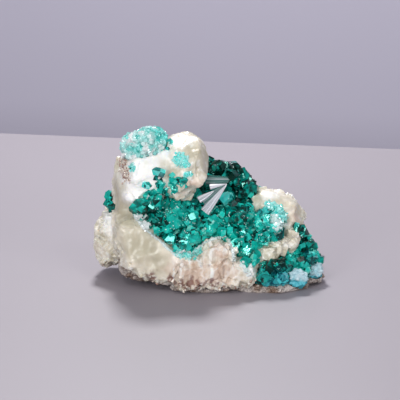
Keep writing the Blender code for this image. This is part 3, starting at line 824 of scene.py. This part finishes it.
class SPECIMEN_OT_dioptase(Operator):
    """The crusts of short green crystals, and the crystals on the boulder"""

    bl_idname = "specimen.dioptase"
    bl_label = "Dioptase"

    nodes = ("dioptase_crust", "dioptase_corner", "dioptase_side")
    base_voxel = 0.7  # mm
    base_points = 4000  # on the main crust's base, for which crystal_tries is meant
    smallness = 1.8  # the higher it is, the more of the crystals are small
    free_reach = 3.0  # mm of room that a crystal needs above it
    most_proud = 1.0  # mm that a crystal may stand out of the solids
    own_reach = 2.5  # mm from a crust that a large crystal on it may be
    closeness = 0.66  # least distance of two tips, for each mm of the two radii
    contrast = 0.24  # how much the tones of a crystal's faces differ
    climb = [(152, 194), (160, 187), (169, 191), (171, 184), (178, 181)]  # pixels
    climb_spread = 3.4  # pixels
    climb_tries = 700
    boulder_tone, boulder_blue = 0.8, 0.3

    def parts_of(self, surface):
        """A function that gives the crusts' tone and blue at a point."""
        parts = [(seen_place(surface, part[0])[0], *part[1:]) for part in CRUST_PARTS]

        def tone_at(point):
            tone, blue = PLAIN_TONE, 0.0
            for centre, radius, more, bluer in parts:
                near = float(smooth_step(1.5 - (point - centre).length / radius, 0, 1))
                tone += more * near
                blue += bluer * near
            return min(max(tone, DARKEST), BRIGHTEST), min(blue, 1.0)

        return tone_at

    def large(self, surface):
        """The largest crystals, which lean towards the eye."""
        rng = np.random.default_rng(SEEDS["large"])
        grown = []
        for pixel, radius, tone in LARGE_CRYSTALS:
            point, normal = seen_place(surface, pixel)
            toward = -seen_ray(*pixel)[1]
            axis = (normal + toward * 0.4 + Vector(rng.normal(0, 0.6, 3))).normalized()
            tip = point + axis * radius * 0.9
            spin = rng.uniform(0, math.tau)
            grown.append(Crystal(tip, axis, radius, 2.6 * radius, spin, tone, 0.0))
        return grown

    def climbing(self, surface, tone_at):
        """The crystals that the main crust sends up the boulder's foot."""
        seed = SEEDS["climbing places"]
        places = seen_places(surface, self.climb, self.climb_spread, self.climb_tries, seed)
        rng = np.random.default_rng(SEEDS["climbing"])
        grown = []
        for point, normal in places:
            axis = (normal + Vector(rng.normal(0, 0.5, 3))).normalized()
            radius = rng.uniform(0.5, 1.1)
            proud = min(radius * rng.uniform(0.4, 1.0), self.most_proud)
            spin = rng.uniform(0, math.tau)
            tone = tone_at(point)[0] + rng.uniform(-0.4, 0.35)
            grown.append(standing(point, axis, radius, proud, spin, tone, 0.1, sunk=1.6))
        return grown

    def scattered(self, node, order, rock, solids, tone_at):
        """Crystals of many sizes over one crust, where the calcite leaves them room."""
        base = skin("crust_base", [node], self.base_voxel)
        relaxed(base, rounds=4)
        share = len(base.data.vertices) / self.base_points
        tries = int(settings().crystal_tries * share)
        places = surface_places(base, tries, SEEDS["crust places"] + order)
        bpy.data.objects.remove(base)
        rng = np.random.default_rng(SEEDS["crust"] + order)
        small, large = settings().crystal_small / MM, settings().crystal_large / MM
        grown = []
        for point, normal in places:
            if rock.ray_cast(point + normal * 0.1, normal, self.free_reach)[0]:
                continue
            radius = small + (large - small) * rng.random() ** self.smallness
            axis = (normal + Vector(rng.normal(0, 0.5, 3))).normalized()
            proud = radius * rng.uniform(0.3, 1.1)
            if solids.find_nearest(point + axis * proud)[3] > self.most_proud:
                continue
            tone, blue = tone_at(point)
            spin = rng.uniform(0, math.tau)
            tone += rng.uniform(-0.35, 0.4)
            grown.append(standing(point, axis, radius, proud, spin, tone, blue, sunk=1.8))
        return grown

    def execute(self, context):
        material = dioptase_material()
        rock = surface_tree([bpy.data.objects["calcite_rock"]])
        solids = surface_tree(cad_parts.values())
        tone_at = self.parts_of(solids)
        large = self.large(solids)
        for order, node in enumerate(self.nodes):
            own = surface_tree([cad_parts[node]])
            first = [c for c in large if own.find_nearest(c.tip)[3] < self.own_reach]
            rest = self.scattered(node, order, rock, solids, tone_at)
            if node == "dioptase_crust":
                rest += self.climbing(solids, tone_at)
            rest.sort(key=lambda item: -item.radius)
            grown = spread_out(first + rest, self.closeness)
            grown = crystal_shapes(grown, SEEDS["crust tones"] + order, self.contrast)
            piece = joined(f"{node}_grown", node_shapes([node], tone_at), grown)
            put_in_place(piece, material, "dioptase_green", node)
        nodes = [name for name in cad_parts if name.startswith("boulder_crystal")]
        shapes = node_shapes(nodes, lambda point: (self.boulder_tone, self.boulder_blue))
        piece = joined("boulder_crystals_grown", shapes)
        put_in_place(piece, material, "dioptase_green", *nodes)
        return {"FINISHED"}


def druse_material():
    """Quartz druse over dioptase, grown: a sugary sparkle, white with turquoise in it."""
    material, tree, shader = new_material("Quartz druse, grown")
    tone = add_node(tree, "ShaderNodeAttribute", attribute_name="tone").outputs["Fac"]
    blue = add_node(tree, "ShaderNodeAttribute", attribute_name="blue").outputs["Fac"]
    inputs = {"Factor": blue, 6: linear("#F4F8F7"), 7: linear("#72FBF2")}
    pale = add_node(tree, "ShaderNodeMix", inputs, data_type="RGBA").outputs[2]
    inputs = {"Factor": tone, 6: linear("#22B5AC"), 7: pale}
    colour = add_node(tree, "ShaderNodeMix", inputs, data_type="RGBA").outputs[2]
    finish = {
        "Base Color": colour,
        "Roughness": 0.1,
        "IOR": 1.55,
        "Transmission Weight": 0.2,
    }
    set_inputs(shader, finish)
    return material


# The thin white and turquoise rim where the main crust ends on the calcite, in pixels.
RIM_LINE = [
    (137, 216), (145, 229), (160, 241), (173, 253), (178, 255), (181, 250), (186, 252),
    (193, 253), (199, 248), (204, 243), (216, 238), (226, 237), (230, 243), (233, 253),
    (234, 261),
]

# Small turquoise patches on the calcite: the pixels, their spread in pixels, how many
# crystals, the range of tones and the blue.
PATCHES = [
    ([(178, 158), (184, 163)], 2.6, 300, (0.8, 1.3), 0.85),
    ([(137, 216), (141, 221), (147, 227)], 1.8, 260, (0.9, 1.4), 0.05),
    ([(187, 174), (190, 175)], 1.0, 60, (0.6, 1.1), 0.9),
    ([(171, 141), (171, 143)], 0.8, 40, (0.0, 0.6), 1.0),
    ([(131, 166), (134, 169)], 1.2, 90, (0.5, 1.1), 0.8),
    ([(144, 184), (148, 188)], 1.0, 50, (0.5, 1.1), 0.9),
    ([(268, 204), (278, 209), (285, 219)], 1.8, 420, (0.6, 1.2), 0.7),
    ([(274, 216), (280, 228)], 2.0, 200, (0.8, 1.3), 0.2),
    ([(178, 252), (190, 256), (200, 250)], 1.6, 260, (0.5, 1.1), 0.8),
    ([(240, 262), (250, 274)], 1.4, 50, (1.0, 1.3), 0.1),
]


class SPECIMEN_OT_druse(Operator):
    """The fine druse on top of the boulder, the crust's pale rim and the small patches"""

    bl_idname = "specimen.druse"
    bl_label = "Druse"

    bed_voxel = 0.4  # mm
    bed_tone = 0.6  # its tone and its blue
    cap_tries = 7000
    cap_closeness = 0.5  # least distance of two tips, for each mm of the two radii
    bluer = (2.0, 9.0)  # mm to the right, where the blue starts and where it is full
    rim_spread = 0.3  # pixels
    rim_count = 1500
    # Of the tiny crystals: radii in mm, how far they lean, the range of tones and the blue.
    rim = {"sizes": (0.1, 0.24), "lean": 0.6, "tones": (0.9, 1.4), "blue": 0.08}
    patches = {"sizes": (0.1, 0.38), "lean": 0.8}
    contrast = 0.1  # how much the tones of a crystal's faces differ
    cap_contrast = 0.12

    def cap(self, material):
        """The druse on the boulder: crystals on a lumpy bed, whiter on the left."""
        base = skin("druse_bed", ["druse_cap"], self.bed_voxel)
        relaxed(base, rounds=3)
        lumps = fractal(points_of(base.data), size=1.8, octaves=4, shift=7.0)
        raised(base, lumps * 0.5 - 0.3)
        rng = np.random.default_rng(SEEDS["cap"])
        grown = []
        for point, normal in surface_places(base, self.cap_tries, SEEDS["cap places"]):
            radius = 0.16 + 0.5 * rng.random() ** 2
            axis = (normal + Vector(rng.normal(0, 0.75, 3))).normalized()
            proud = radius * rng.uniform(0.4, 1.7)
            right = float(smooth_step(point.x + 0.5 * point.z, *self.bluer))
            patch = noise.noise(point / 1.7)
            tone = 0.9 - 0.35 * right + patch * 0.7 + rng.normal(0, 0.22)
            blue = min(max(0.3 + 0.6 * right - patch * 0.8, 0), 1)
            spin = rng.uniform(0, math.tau)
            grown.append(standing(point, axis, radius, proud, spin, tone, blue, sunk=1.5))
        points = points_of(base.data)
        faces = [tuple(p.vertices) for p in base.data.polygons]
        tones = [self.bed_tone] * len(faces)
        bpy.data.objects.remove(base)
        grown = spread_out(grown, self.cap_closeness)
        grown = crystal_shapes(grown, SEEDS["cap tones"], self.cap_contrast)
        piece = joined("druse_cap_grown", (points, faces, tones, tones), grown)
        put_in_place(piece, material, "turquoise_druse", "druse_cap")

    def execute(self, context):
        material = druse_material()
        self.cap(material)
        names = ["calcite_rock", "dioptase_crust_grown", "dioptase_corner_grown"]
        surface = surface_tree([bpy.data.objects[name] for name in names])
        seed = SEEDS["rim places"]
        places = seen_places(surface, RIM_LINE, self.rim_spread, self.rim_count, seed)
        grown = tiny_crystals(places, seed=SEEDS["rim"], **self.rim)
        shapes = [crystal_shapes(grown, SEEDS["rim tones"], self.contrast)]
        for i, (line, spread, count, tones, blue) in enumerate(PATCHES):
            places = seen_places(surface, line, spread, count, SEEDS["patch places"] + i)
            seed = SEEDS["patches"] + i
            grown = tiny_crystals(places, tones=tones, blue=blue, seed=seed, **self.patches)
            shapes.append(crystal_shapes(grown, SEEDS["patch tones"] + i, self.contrast))
        put_in_place(joined("druse_patches", *shapes), material, "turquoise_druse")
        return {"FINISHED"}


def crumb_material():
    """Calcite, crushed: sharp small grains, cream to rusty, that sparkle."""
    material, tree, shader = new_material("Calcite, crushed")
    tone = add_node(tree, "ShaderNodeAttribute", attribute_name="tone").outputs["Fac"]
    inputs = {"Factor": tone, 6: linear("#95695A"), 7: linear("#EFE9DC")}
    colour = add_node(tree, "ShaderNodeMix", inputs, data_type="RGBA").outputs[2]
    set_inputs(shader, {"Base Color": colour, "Roughness": 0.2, "IOR": 1.6})
    return material


class SPECIMEN_OT_sugar(Operator):
    """Crushed calcite on the foot and the boulder's edge, and quartz specks in the crust as
    painted glints
    """

    bl_idname = "specimen.sugar"
    bl_label = "Calcite grains"

    foot_tries = 9000
    foot_height = 3.0  # mm up that the crumbs reach
    foot_waver = 2.5  # mm by which that height varies
    edge = [(119, 150), (122, 160), (124, 170), (127, 181)]  # pixels
    edge_spread = 2.2  # pixels
    edge_count = 260
    # Of the grains: radii in mm, how far they lean, the range of tones and the blue.
    crumb = {"sizes": (0.1, 0.3), "lean": 0.8, "tones": (0.1, 1.0), "blue": 0.0}
    crumb_closeness = 0.7  # least distance of two tips, for each mm of the two radii
    crumb_contrast = 0.2  # how much the tones of a grain's faces differ
    # The specks are painted glints, scattered over the dioptase field.
    speck = {"sizes": (0.05, 0.16), "lean": 0.9, "tones": (0.8, 1.4), "blue": 0.4}
    speck_contrast = 0.1
    field = [
        (150, 200), (172, 196), (160, 215), (185, 212), (176, 232), (205, 228), (225, 215),
        (245, 220), (262, 212), (236, 246), (256, 236), (300, 246),
    ]  # pixels
    field_spread = 8.0  # pixels
    field_count = 420

    def on_foot(self, point):
        """Whether a point is low enough for crumbs, whose upper edge wavers."""
        return point.z < self.foot_height + self.foot_waver * noise.noise(point / 3)

    def crumbs(self, rock):
        """Crushed calcite where the rock crumbles."""
        copy = object_of("foot", rock.data.copy())
        set_points(copy.data, points_of(copy.data) / MM)
        places = surface_places(copy, self.foot_tries, SEEDS["crumb places"])
        places = [place for place in places if self.on_foot(place[0])]
        bpy.data.objects.remove(copy)
        solid = surface_tree([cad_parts["calcite_matrix"]])
        seed = SEEDS["edge places"]
        places += seen_places(solid, self.edge, self.edge_spread, self.edge_count, seed)
        grains = tiny_crystals(places, seed=SEEDS["crumbs"], **self.crumb)
        grains = spread_out(grains, self.crumb_closeness)
        grains = crystal_shapes(grains, SEEDS["crumb tones"], self.crumb_contrast)
        piece = joined("calcite_crumbs", grains)
        put_in_place(piece, crumb_material(), "calcite_cream")

    def execute(self, context):
        self.crumbs(bpy.data.objects["calcite_rock"])
        names = ["dioptase_crust_grown", "dioptase_corner_grown"]
        surface = surface_tree([bpy.data.objects[name] for name in names])
        # Painted glints: tiny pale crystals over the dioptase field.
        seed = SEEDS["speck places"]
        places = seen_places(surface, self.field, self.field_spread, self.field_count, seed)
        specks = tiny_crystals(places, seed=SEEDS["specks"], **self.speck)
        specks = crystal_shapes(specks, SEEDS["speck tones"], self.speck_contrast)
        piece = joined("quartz_specks", specks)
        put_in_place(piece, bpy.data.materials["Quartz druse, grown"], "turquoise_druse")
        return {"FINISHED"}


def spear_material():
    """Calcite, clear and cleaved: silvery, with fine lines along it."""
    material, tree, shader = new_material("Clear calcite, striated")
    tone = add_node(tree, "ShaderNodeAttribute", attribute_name="tone").outputs["Fac"]
    inputs = {"Factor": tone, 6: linear("#28635B"), 7: linear("#DEDFE6")}
    colour = add_node(tree, "ShaderNodeMix", inputs, data_type="RGBA").outputs[2]
    finish = {
        "Base Color": colour,
        "Roughness": 0.22,
        "IOR": 1.6,
        "Transmission Weight": 0.1,
    }
    set_inputs(shader, finish)
    return material


# The spear's blades: root pixel, tip pixel, width in mm, number of ribs, tone, how sharply
# the blade narrows, and how far it stands out of the spear's plane in mm.
BLADES = [
    ((205, 212), (227, 184), 2.5, 6, 0.95, 0.7, 2.1),
    ((204, 203), (226, 185), 3.4, 6, 0.2, 0.7, 1.4),
    ((199, 200), (214, 191), 1.7, 3, 1.0, 0.6, 2.0),
    ((210, 187), (227, 184), 1.4, 2, 1.0, 0.9, 2.0),
    ((206, 180), (229, 180), 2.1, 3, 0.05, 0.15, 0.5),
]


class SPECIMEN_OT_spear(Operator):
    """The clear striated spear that lies in the main crust"""

    bl_idname = "specimen.spear"
    bl_label = "Spear"

    depth = 2.4  # mm from a blade's face down into the crust
    stations = (0.0, 0.4, 0.75, 0.96)  # shares of the blade's length
    rib_heights = (0.1, 0.3)  # mm
    crown = 0.25  # how far a face's middle stands out, as a share of the blade's width

    def blade(self, ends, out, width, ribs, tone, narrowing, rng):
        """A blade that narrows to a point, with ribs along its face."""
        root, tip = ends
        across = (tip - root).cross(out).normalized()
        rises = [rng.uniform(*self.rib_heights) * (j % 2) for j in range(2 * ribs + 1)]
        row = len(rises) + 2
        points, faces, tones = [], [], []
        for share in self.stations:
            half = width / 2 * (1 - share) ** narrowing
            middle = root.lerp(tip, share)
            for j, rise in enumerate(rises):
                side = j / ribs - 1
                crown = self.crown * width * (1 - side ** 2) * (1 - share)
                height = rise * (1 - share) + crown
                points.append(middle + across * (half * side) + out * height)
            for side in (half, -half):
                points.append(middle + across * side - out * self.depth * (1 - 0.6 * share))
        points.append(tip)
        last = len(points) - 1
        shades = [tone + rng.normal(0, 0.2) for _ in range(row)]
        for k in range(len(self.stations)):
            for j in range(row):
                here, beside = k * row + j, k * row + (j + 1) % row
                if k + 1 < len(self.stations):
                    faces.append((here, beside, beside + row, here + row))
                else:
                    faces.append((here, beside, last))
                tones.append(shades[j] + rng.normal(0, 0.06))
        faces.append(tuple(range(row)))
        tones.append(tone)
        return points, faces, tones, [0.0] * len(faces)

    def execute(self, context):
        points = [v.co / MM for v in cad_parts["calcite_spear"].data.vertices]
        tip = max(points, key=lambda p: p.z)
        root = min(points, key=lambda p: p.z)
        toward = -seen_ray(*BLADES[0][0])[1]
        axis = (tip - root).normalized()
        out = (toward - axis * toward.dot(axis)).normalized()
        rng = np.random.default_rng(SEEDS["spear"])
        shapes = []
        for root_pixel, tip_pixel, width, ribs, tone, narrowing, stand in BLADES:
            ends = []
            for pixel in (root_pixel, tip_pixel):
                eye, ahead = seen_ray(*pixel)
                far = (tip + out * stand - eye).dot(out) / ahead.dot(out)
                ends.append(eye + ahead * far)
            shapes.append(self.blade(ends, out, width, ribs, tone, narrowing, rng))
        piece = joined("spear_blades", *shapes)
        put_in_place(piece, spear_material(), "clear_calcite", "calcite_spear")
        return {"FINISHED"}


def chrysocolla_material():
    """Chrysocolla, grown in small knobs: satin pale blue, paler on top and on the knobs' crowns.
    """
    material, tree, shader = new_material("Chrysocolla, botryoidal")
    cloud = 1.6  # mm
    place = add_node(tree, "ShaderNodeTexCoord").outputs["Object"]
    inputs = {"Vector": place, "Scale": 1 / (cloud * MM), "Detail": 5.0}
    clouds = add_node(tree, "ShaderNodeTexNoise", inputs).outputs["Fac"]
    inputs = {"Value": clouds, "From Min": 0.35, "From Max": 0.65}
    share = add_node(tree, "ShaderNodeMapRange", inputs).outputs["Result"]
    inputs = {"Factor": share, 6: linear("#2FA3B4"), 7: linear("#62BCC8")}
    colour = add_node(tree, "ShaderNodeMix", inputs, data_type="RGBA").outputs[2]
    crest = add_node(tree, "ShaderNodeAttribute", attribute_name="crest").outputs["Fac"]
    inputs = {"Factor": crest, 6: colour, 7: linear("#C4D4DA")}
    colour = add_node(tree, "ShaderNodeMix", inputs, data_type="RGBA").outputs[2]
    set_inputs(shader, {"Base Color": colour, "Roughness": 0.4})
    return material


class SPECIMEN_OT_chrysocolla(Operator):
    """The pale blue knobs on the low corner"""

    bl_idname = "specimen.chrysocolla"
    bl_label = "Chrysocolla"

    voxel = 0.2  # mm
    knob = 1.3  # mm across
    paler_top = (3.0, 2.2)  # mm below the top, where the paler top starts and where it is full
    sharp_edge = math.radians(40)

    def execute(self, context):
        material = chrysocolla_material()
        for name in ("chrysocolla_foot", "chrysocolla_edge"):
            obj = skin(f"{name}_knobs", [name], self.voxel)
            relaxed(obj, rounds=3)
            points = points_of(obj.data)
            away = np.array([noise.voronoi(Vector(p) / self.knob)[0][0] for p in points])
            rough = fractal(points, size=0.9, shift=3.0)
            raised(obj, 0.3 - away * 0.9 + rough * 0.4)
            ragged = points[:, 2] + rough * 0.8
            crest = smooth_step(ragged, *(points[:, 2].max() - down for down in self.paler_top))
            set_values(obj.data, "crest", crest * (0.95 - 0.5 * away))
            put_in_place(obj, material, "pale_chrysocolla", name, sharp_edge=self.sharp_edge)
        return {"FINISHED"}


def table_material():
    """Laminate board, sanded matt: pale, with no pattern and a faint soft sheen."""
    material, _, shader = new_material("Laminate, matt")
    set_inputs(shader, {"Base Color": (*settings().table_colour, 1), "Roughness": 0.55})
    return material


def backdrop_material():
    """Paper, uncoated: an even grey-lavender behind the table."""
    material, _, shader = new_material("Backdrop paper, uncoated")
    set_inputs(shader, {"Base Color": linear("#C4C0D0"), "Roughness": 0.9})
    return material


# Soft studio lights: name, place in mm, size in mm and power in W.
LIGHTS = (
    ("overhead", (-30, 250, 370), 70, 1.9),
    ("front_left", (-220, -420, 170), 160, 1.12),
    ("front_right", (280, -360, 130), 110, 0.55),
    ("glint_left", (-120, -330, 380), 30, 0.3),
    ("glint_right", (170, -280, 380), 30, 0.2),
)


class SPECIMEN_OT_stage(Operator):
    """The table, the backdrop, the lights and the camera"""

    bl_idname = "specimen.stage"
    bl_label = "Stage"

    table_edge = 148.0  # mm behind the middle
    table_turn = math.radians(-10)
    reach = 1500.0  # mm to each side
    paper = (330.0, -200.0, 900.0)  # mm: how far back it hangs, its foot and its top
    fill = 0.34  # strength of the even light from all sides

    def sheet(self, name, corners, material):
        """A flat sheet between four corners in mm, turned about the upright axis."""
        mesh = bpy.data.meshes.new(name)
        mesh.from_pydata([Vector(c) * MM for c in corners], [], [(0, 1, 2, 3)])
        mesh.transform(Matrix.Rotation(self.table_turn, 4, "Z"))
        mesh.materials.append(material)
        object_of(name, mesh)

    def light(self):
        """The even light from all sides and the soft lamps, all turned to the specimen."""
        world = bpy.data.worlds.new("studio")
        world.use_nodes = True
        fill = {"Color": linear("#E4E1EC"), "Strength": self.fill}
        set_inputs(world.node_tree.nodes["Background"], fill)
        bpy.context.scene.world = world
        for name, place, size, power in LIGHTS:
            lamp = bpy.data.lights.new(name, "AREA")
            lamp.energy = power
            lamp.size = size * MM
            obj = object_of(name, lamp)
            obj.location = Vector(place) * MM
            obj.rotation_euler = (AIM * MM - obj.location).to_track_quat("-Z", "Y").to_euler()

    def execute(self, context):
        edge, reach = self.table_edge, self.reach
        table = [(-reach, -reach, 0), (reach, -reach, 0), (reach, edge, 0), (-reach, edge, 0)]
        self.sheet("table_board", table, table_material())
        back, foot, top = self.paper
        paper = [
            (-reach, back, foot), (reach, back, foot), (reach, back, top), (-reach, back, top),
        ]
        self.sheet("backdrop_sheet", paper, backdrop_material())
        self.light()
        camera = bpy.data.cameras.new("camera")
        camera.sensor_width = SENSOR
        camera.lens = LENS
        camera.clip_start = 0.01
        eye = object_of("camera", camera)
        start, ahead = seen_ray(PHOTO / 2, PHOTO / 2)
        eye.location = start * MM
        eye.rotation_euler = ahead.to_track_quat("-Z", "Y").to_euler()
        context.scene.camera = eye
        context.scene.view_settings.view_transform = "Standard"
        return {"FINISHED"}


class SPECIMEN_PT_panel(Panel):
    """Lists the pieces of the specimen"""

    bl_idname = "SPECIMEN_PT_panel"
    bl_label = "Dioptase specimen"
    bl_space_type = "VIEW_3D"
    bl_region_type = "UI"
    bl_category = "Specimen"

    def draw(self, context):
        for name in SpecimenSettings.__annotations__:
            self.layout.prop(context.scene.specimen, name)
        for operator in OPERATORS:
            self.layout.operator(operator.bl_idname)


OPERATORS = (
    SPECIMEN_OT_calcite,
    SPECIMEN_OT_host_rock,
    SPECIMEN_OT_dioptase,
    SPECIMEN_OT_druse,
    SPECIMEN_OT_sugar,
    SPECIMEN_OT_spear,
    SPECIMEN_OT_chrysocolla,
    SPECIMEN_OT_stage,
)
CLASSES = (SpecimenSettings, *OPERATORS, SPECIMEN_PT_panel)


def register():
    for item in CLASSES:
        bpy.utils.register_class(item)
    bpy.types.Scene.specimen = PointerProperty(type=SpecimenSettings)


def unregister():
    del bpy.types.Scene.specimen
    for item in reversed(CLASSES):
        bpy.utils.unregister_class(item)


def main():
    register()
    bpy.ops.specimen.calcite()
    bpy.ops.specimen.host_rock()
    bpy.ops.specimen.dioptase()
    bpy.ops.specimen.druse()
    bpy.ops.specimen.sugar()
    bpy.ops.specimen.spear()
    bpy.ops.specimen.chrysocolla()
    bpy.ops.specimen.stage()


if __name__ == "__main__":
    main()
